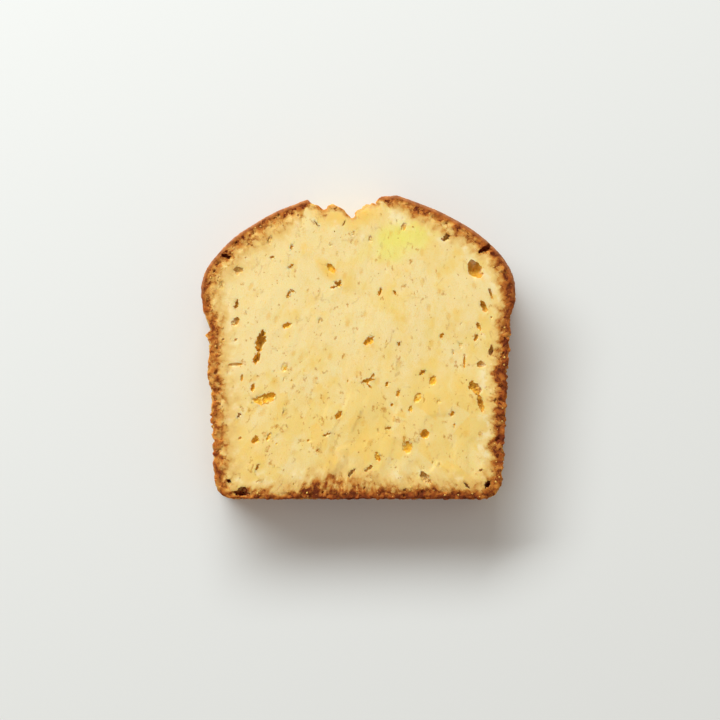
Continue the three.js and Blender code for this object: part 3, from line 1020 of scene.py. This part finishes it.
def crumbPaint(tree, place, grain, crumb):
    # the crumb's own colours, which differ in how yellow they are more than in how light
    rightward, up = addNode(tree, "ShaderNodeSeparateXYZ", {0: place}).outputs[:2]
    wide = noiseTone(tree, place, 0.08, 3.0)
    patches = noiseTone(tree, grain, (0.26, 0.19, 0.26), 3.0, 0.55)
    yellow = plus(tree, times(tree, wide, 0.6), times(tree, patches, 0.4))
    yellow = plus(tree, yellow, fade(tree, rightward, -45, 25, -0.1, 0.04))
    yellow = plus(tree, yellow, fade(tree, up, -30, 25, 0.04, -0.09))
    flakeShare = fade(tree, up, -25, 5, 0.5, 0.12)
    colour = mixPaint(tree, fade(tree, yellow, 0.36, 0.58), cakeColours["crumbPale"], cakeColours["crumb"])
    layers = [
        (fade(tree, patches, 0.52, 0.75, 0.0, 0.32), "crumbDeep"),
        (fade(tree, crumb["Tone"], 0.55, 0.8, 0.0, 0.3), "crumbDeep"),
        (times(tree, fade(tree, crumb["Flakes"], 0.5, 1.0), flakeShare), "crumbPale"),
        (times(tree, fade(tree, crumb["Flakes"], 0.0, 0.5, 1.0, 0.0), flakeShare), "crumbDeep"),
        (fade(tree, noiseTone(tree, place, 2.6), 0.5, 0.75, 0.0, 0.5), "crumbDeep"),
        (times(tree, stored(tree, "golden"), 0.8), "crumbDeep"),
        (times(tree, stored(tree, "lemon"), 0.75), "lemon"),
        (times(tree, crumb["Cells"], 0.4), "cell"),
        (times(tree, crumb["Stains"], 0.4), "stain"),
        (times(tree, crumb["Marks"], 0.65), "mark"),
    ]
    return layered(tree, colour, layers)


def holePaint(tree, colour, hollow, inset):
    # painted shade: deeper yellow inside the holes for the shade and the light bounced in them, darker on
    # their floors and paler near the crust
    inside = mixPaint(tree, fade(tree, hollow, 0.15, 0.5), cakeColours["holeShallow"], cakeColours["hole"])
    inside = mixPaint(tree, fade(tree, hollow, 0.9, 1.8), inside, cakeColours["holeFloor"])
    inside = mixPaint(tree, fade(tree, inset, 9.0, 13.0), cakeColours["holePale"], inside)
    return mixPaint(tree, fade(tree, hollow, 0.03, 0.35), colour, inside)


def rimPlace(tree, place, inset, around, inward):
    # where a noise is read that makes streaks inwards from the rim
    spoke = scaled(tree, vectorCalc(tree, "ADD", place, (0.0, 4.0, 0.0)), (1, 1, 0))
    spoke = addNode(tree, "ShaderNodeVectorMath", {0: spoke}, operation="NORMALIZE").outputs[0]
    deep = addNode(tree, "ShaderNodeCombineXYZ", {2: times(tree, inset, inward)}).outputs[0]
    return vectorCalc(tree, "ADD", scaled(tree, spoke, (around, around, 0)), deep)


def bakedEvenly(tree, place, inset, wavy):
    # how brown: most at the rim and less further in, with an edge broken by noise and inward streaks
    streaks = noiseTone(tree, rimPlace(tree, place, inset, 26, 0.2), 1.0, 3.0, 0.55)
    ragged = noiseTone(tree, place, 0.8, 4.0, 0.6)
    stray = minus(tree, plus(tree, times(tree, wavy, 6.4), times(tree, ragged, 2.6)), 4.5)
    pull = plus(tree, times(tree, stored(tree, "smear"), 12), 2.0)
    stray = plus(tree, stray, times(tree, minus(tree, streaks, 0.5), pull))
    reach = plus(tree, inset, times(tree, stray, fade(tree, inset, 0.4, 2.6)))
    reach = calc(tree, "MAXIMUM", calc(tree, "DIVIDE", reach, stored(tree, "depth")), 0.001)
    reach = calc(tree, "POWER", reach, stored(tree, "ending"))
    return times(tree, calc(tree, "EXPONENT", times(tree, reach, -1.0)), stored(tree, "brownness"))


def bakedUnevenly(tree, place, inset, skin, rind, crusted):
    # what the rough crust adds to the browning: its mottle, blotches, and dark crevices just under the skin
    smoothSkin = times(tree, skin, fade(tree, inset, 1.0, 1.6, 1.0, 0.0), 0.8)
    mottle = times(tree, minus(tree, rind["Tone"], 0.54), cakeFinish["mottle"])
    mottle = plus(tree, mottle, times(tree, rind["Crevices"], cakeFinish["crevices"]))
    # painted highlight: the grains make the browning paler
    mottle = minus(tree, mottle, times(tree, rind["Glint Grains"], cakeFinish["glintGrains"]))
    mottle = times(tree, mottle, minus(tree, 1.0, smoothSkin))
    blotches = times(tree, minus(tree, noiseTone(tree, place, 0.25, 5.0, 0.6), 0.5), cakeFinish["blotches"])
    seamTone = noiseTone(tree, rimPlace(tree, place, inset, 34, 0.7), 1.0, 4.0, 0.6)
    seam = times(
        tree,
        fade(tree, seamTone, 0.54, 0.6, 0.0, cakeFinish["seam"]),
        fade(tree, inset, 1.0, 1.5),
        fade(tree, inset, 2.3, 3.4, 1.0, 0.0),
        stored(tree, "seam"),
    )
    return times(tree, plus(tree, mottle, blotches, seam), crusted)


def skinPaint(tree, colour, place, inset, skin):
    # the smooth outer skin of the dome
    tone = noiseTone(tree, place, 0.3, 5.0, 0.65)
    skinColour = mixPaint(tree, fade(tree, tone, 0.5, 0.68), cakeColours["skin"], cakeColours["skinDark"])
    skinColour = mixPaint(tree, fade(tree, tone, 0.36, 0.5, 0.8, 0.0), skinColour, cakeColours["skinPale"])
    share = times(tree, fade(tree, skin, 0.5, 0.9, 0.0, 0.85), fade(tree, inset, 0.5, 1.3, 1.0, 0.0))
    return mixPaint(tree, share, colour, skinColour)


def holeGlow(tree, colour, hollow, crusted):
    # painted light: the holes glow a little, for the light that the crumb lets through into them, less in
    # deep ones and in the crust
    share = times(
        tree,
        fade(tree, hollow, 0.05, 0.4, 0.0, cakeFinish["holeGlow"]),
        fade(tree, hollow, 0.7, 1.8, 1.0, 0.6),
        fade(tree, crusted, 0.0, 0.6, 1.0, 0.12),
    )
    return mixPaint(tree, share, (0, 0, 0, 1), colour)


def cakeMaterial(crumbTree, rindTree):
    material, tree, shader = newMaterial("bakedCake")
    place = millimetres(tree)
    up, upright = addNode(tree, "ShaderNodeSeparateXYZ", {0: place}).outputs[1:]
    grain = addNode(tree, "ShaderNodeAttribute", attribute_name="grain").outputs["Vector"]
    inset, hollow, wall, skin = (stored(tree, name) for name in ("inset", "hollow", "wall", "skin"))
    markShare = fade(tree, up, -20, 15, 0.38, 0.35)  # fewer above the middle
    crumb = useGroup(tree, crumbTree, {"Place": place, "Grain": grain, "Mark Share": markShare})
    rind = useGroup(tree, rindTree, {"Place": place, "Lobe Size": cakeFinish["lobeSize"]})
    wavy = noiseTone(tree, place, 0.26, 3.0)

    baked = bakedEvenly(tree, place, inset, wavy)
    crusted = fade(tree, baked, 0.12, 0.45)
    baked = plus(tree, baked, bakedUnevenly(tree, place, inset, skin, rind, crusted))
    lower = times(tree, wall, fade(tree, upright, thickness - 2.0, thickness - 0.4, 0.22, 0.0))
    browned, brownedShare = ramp(tree, minus(tree, baked, lower), browning)  # the walls are a little paler

    colour = holePaint(tree, crumbPaint(tree, place, grain, crumb), hollow, inset)
    # painted shade: the walls take a darker crumb colour, more of it further below their top edge
    under = times(tree, wall, fade(tree, upright, thickness - 2.6, thickness - 0.3, 0.9, 0.35))
    whiteBand = times(tree, fade(tree, inset, 3.5, 5.5), fade(tree, inset, 7.0, 10.0, 1.0, 0.0))
    white = times(tree, whiteBand, fade(tree, wavy, 0.5, 0.65, 0.0, 0.7))
    colour = layered(tree, colour, [(under, "wallShadeCrumb"), (white, "crumbWhite")])
    colour = mixPaint(tree, brownedShare, colour, browned)
    # painted shade: the crust's pits turn dark red-brown with depth
    pitShadeShare = times(tree, fade(tree, hollow, 0.15, 0.9, 0.0, 0.95), crusted)
    colour = layered(tree, colour, [(pitShadeShare, "crustHoleShade")])
    colour = skinPaint(tree, colour, place, inset, skin)

    skinned = times(tree, skin, wall)
    roughness = fade(tree, skinned, 0.0, 1.0, cakeFinish["crumbRoughness"], cakeFinish["skinRoughness"])
    height = mixValues(tree, crusted, crumb["Height"], rind["Height"])
    addBump(tree, shader, times(tree, height, fade(tree, skinned, 0.0, 1.0, 1.0, 0.4)), cakeFinish)
    tree.links.new(colour, shader.inputs["Base Color"])
    tree.links.new(roughness, shader.inputs["Roughness"])
    # painted light: the holes glow
    tree.links.new(holeGlow(tree, colour, hollow, crusted), shader.inputs["Emission Color"])
    shader.inputs["Emission Strength"].default_value = 1.0
    material.cycles.emission_sampling = "NONE"
    shader.inputs["Subsurface Weight"].default_value = cakeFinish["scatter"]
    shader.inputs["Subsurface Radius"].default_value = cakeFinish["scatterColours"]
    shader.inputs["Subsurface Scale"].default_value = cakeFinish["scatterReach"] * mm
    return material


def crumbsMaterial(rindTree):
    material, tree, shader = newMaterial("bakedCrumb")
    rind = useGroup(tree, rindTree, {"Place": millimetres(tree), "Lobe Size": crumbFinish["lobeSize"]})
    share = fade(tree, rind["Tone"], 0.35, 0.65)
    colour = mixPaint(tree, share, cakeColours["crumbDeep"], cakeColours["crumbBrown"])
    tree.links.new(colour, shader.inputs["Base Color"])
    addBump(tree, shader, rind["Height"], crumbFinish)
    shader.inputs["Roughness"].default_value = crumbFinish["roughness"]
    return material


# What the materials read from the mesh


def vertexPlaces(piece):
    flat = np.empty(3 * len(piece.data.vertices))
    piece.data.vertices.foreach_get("co", flat)
    return flat.reshape(-1, 3) / mm


# Where the crumb is lemon yellow, and where it is golden: middle, turn, and half length and width.
lemonPatch = {"middle": (13.5, 82.5), "turn": 0.38, "length": 14, "width": 7}
goldenPatches = [
    {"middle": (-3, 89.5), "turn": -0.05, "length": 14, "width": 4.5},
    # along the fold from (-19, 80) to (-6.5, 67): painted shade of the fold's drop, as well as the crumb's
    # golden tone there
    {"middle": (-9.5, 72), "turn": -0.8, "length": 6, "width": 2.4},
    {"middle": (-30, 82.5), "turn": 0.5, "length": 7, "width": 3},
    {"middle": (-9, 10), "turn": 1.2, "length": 7, "width": 3},
]


def patchShare(patch, x, y):
    dx, dy = x - patch["middle"][0], y - patch["middle"][1]
    c, s = math.cos(patch["turn"]), math.sin(patch["turn"])
    far = np.hypot((dx * c + dy * s) / patch["length"], (dy * c - dx * s) / patch["width"])
    return 1 - smoothStep(0.2, 1.2, far + 0.25 * noise(x / 4, y / 4, 70))


def storeBake(piece):
    x, y, z = vertexPlaces(piece).T
    index, inset = nearestOnOutline(x, y)
    inset = inset + wallOffset(index, z)
    upper = upperHeight(x, y)
    hollow = np.minimum(upper - z, z - lowerHeight(x, y)) * smoothStep(0.3, 0.9, inset)
    store(piece, "inset", inset)
    store(piece, "hollow", hollow)
    store(piece, "wall", 1 - smoothStep(0.1, 0.45, inset))
    for name in ("brownness", "depth", "ending", "skin", "smear", "seam"):
        store(piece, name, oven[name][index])
    store(piece, "lemon", patchShare(lemonPatch, x, y))
    store(piece, "golden", np.max([patchShare(patch, x, y) for patch in goldenPatches], axis=0))
    store(piece, "grain", np.column_stack([grainAcross(x, y), y, z]))


# The slice


def cakeSlicePiece(material, bubbles):
    cake = bareSlice()
    print("bare slice:", triangleCount(cake), "triangles")
    main = mainBubbles()
    for number, turn in enumerate(clearTurns(main)):
        some = {key: values[turn] for key, values in main.items()}
        print("main holes, turn", number + 1, "with", len(turn), "holes")
        cut(cake, bubblePiece(f"mainBubbles{number}", some, bubbles, material, 4))
    taken = [np.append(middle, reach[0]) for middle, reach in zip(main["middle"], main["reach"])]
    smallOnes = [
        (faceHoles("slits", upperLikely, upperHeight, taken), 2),
        (faceHoles("cells", upperLikely, upperHeight, taken), 3),
        (faceHoles("pores", upperLikely, upperHeight, taken), 2),
        (faceHoles("pinholes", upperLikely, upperHeight, taken), 1),
        (faceHoles("rind", rindLikely, upperHeight, taken), 2),
        (faceHoles("lower", lowerLikely, lowerHeight, taken), 2),
        (wallHoles("sides", sidesLikely, taken), 1),
        (wallHoles("tear", tearLikely, taken), 1),
    ]
    for number, (holes, roundness) in enumerate(smallOnes):
        cut(cake, bubblePiece(f"smallBubbles{number}", holes, bubbles, material, roundness))
    print("small holes:", sum(len(holes["turn"]) for holes, roundness in smallOnes))
    made = triangleCount(cake)
    modifier = cake.modifiers.new("lighten", "DECIMATE")
    modifier.ratio = min(1, sliceShape["mostTriangles"] / made)
    bakeModifiers(cake)
    print("slice:", made, "triangles, thinned to", triangleCount(cake))
    return cake, taken


def clingingCrumbs(material, bubbles, taken):
    crumbs = faceHoles("crumbs", crumbsLikely, upperHeight, taken)
    piece = bubblePiece("bakedCrumbs", crumbs, bubbles, material, 2)
    print("baked crumbs:", len(crumbs["turn"]), "with", triangleCount(piece), "triangles")
    return piece


def shiftToNode(piece):
    # how far a mesh must move, in millimetres, to lie where the CAD node lies
    places = vertexPlaces(piece)
    low, high = places.min(axis=0), places.max(axis=0)
    target = (nodeLow + nodeHigh) / 2 / mm
    middle = (low + high) / 2
    return np.array([target.x - middle[0], target.y - middle[1], nodeLow.z / mm - low[2]])


def finishPiece(piece, shift, material):
    # moves the finished mesh into the shared frame, and gives it its one material and smooth faces
    moved = (vertexPlaces(piece) + shift) * mm
    piece.data.vertices.foreach_set("co", moved.ravel())
    piece.data.update()
    piece.data.materials.clear()
    piece.data.materials.append(material)
    piece.data.polygons.foreach_set("material_index", np.zeros(len(piece.data.polygons), np.int32))
    piece.data.polygons.foreach_set("use_smooth", np.ones(len(piece.data.polygons), bool))
    piece.data.set_sharp_from_angle(angle=math.radians(sliceShape["sharpAngle"]))


rindTree = rindGrain()
bakedCake = cakeMaterial(crumbGrain(), rindTree)
bakedCrumb = crumbsMaterial(rindTree)
print("materials made")
bubbles = lumpyBubbles()
cakeSlice, taken = cakeSlicePiece(bakedCake, bubbles)
bakedCrumbs = clingingCrumbs(bakedCrumb, bubbles, taken)
storeBake(cakeSlice)
print("browning stored on the slice")
shift = shiftToNode(cakeSlice)
finishPiece(cakeSlice, shift, bakedCake)
finishPiece(bakedCrumbs, shift, bakedCrumb)
for piece in (cakeSlice, bakedCrumbs):
    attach(piece, "root")
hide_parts("cake_slice")


# Floor, light and camera

studio = {
    "floorSize": 3.0,
    "floorColour": paint(220, 223, 221),
    "floorRoughness": 0.6,
    "keyFrom": (-0.46, 0.89),  # the side that the window's light comes from
    "keyElevation": 33,
    "keyDistance": 1.7,
    "keyWidth": 2.3,
    "keyHeight": 0.55,
    "keyPower": 44.3,
    "keyColour": (0.96, 1.0, 1.02),
    "skyColour": (1.0, 0.9, 0.82, 1),
    "skyStrength": 0.46,
    "cameraElevation": 87,
    "lens": 85,
    "sensor": 36,
    "frameWidth": 227.9,  # what the photograph takes in, at the height of the upper cut
    "aim": (0.51, -4.25),
}


def floorPiece():
    half = studio["floorSize"] / 2 / mm
    corners = [(-half, -half, 0), (half, -half, 0), (half, half, 0), (-half, half, 0)]
    floor = newPiece("floor", corners, [(0, 1, 2, 3)])
    material, tree, shader = newMaterial("paleFloor")
    shader.inputs["Base Color"].default_value = studio["floorColour"]
    shader.inputs["Roughness"].default_value = studio["floorRoughness"]
    floor.data.materials.append(material)


def aimObject(thing, place, target):
    thing.location = place
    direction = target - place
    thing.rotation_euler = direction.to_track_quat("-Z", "Y").to_euler()


def lights():
    side = Vector((studio["keyFrom"][0], studio["keyFrom"][1], 0)).normalized()
    angle = math.radians(studio["keyElevation"])
    place = studio["keyDistance"] * (side * math.cos(angle) + Vector((0, 0, math.sin(angle))))
    light = bpy.data.lights.new("windowLight", "AREA")
    light.shape = "ELLIPSE"
    light.size = studio["keyWidth"]
    light.size_y = studio["keyHeight"]
    light.energy = studio["keyPower"]
    light.color = studio["keyColour"]
    lamp = bpy.data.objects.new("windowLight", light)
    bpy.context.scene.collection.objects.link(lamp)
    aimObject(lamp, place, Vector((0, 0, 0)))
    world = bpy.data.worlds.new("softRoom")
    world.use_nodes = True
    background = world.node_tree.nodes["Background"]
    background.inputs["Color"].default_value = studio["skyColour"]
    background.inputs["Strength"].default_value = studio["skyStrength"]
    bpy.context.scene.world = world


def camera():
    lens = bpy.data.cameras.new("photoCamera")
    lens.lens = studio["lens"]
    lens.sensor_width = studio["sensor"]
    away = studio["frameWidth"] * mm * studio["lens"] / lens.sensor_width
    angle = math.radians(studio["cameraElevation"])
    target = Vector((studio["aim"][0] * mm, studio["aim"][1] * mm, nodeHigh.z))
    thing = bpy.data.objects.new("photoCamera", lens)
    bpy.context.scene.collection.objects.link(thing)
    aimObject(thing, target + away * Vector((0, -math.cos(angle), math.sin(angle))), target)
    bpy.context.scene.camera = thing


floorPiece()
lights()
camera()
bpy.context.scene.view_settings.view_transform = "Standard"
print("floor, light and camera placed")
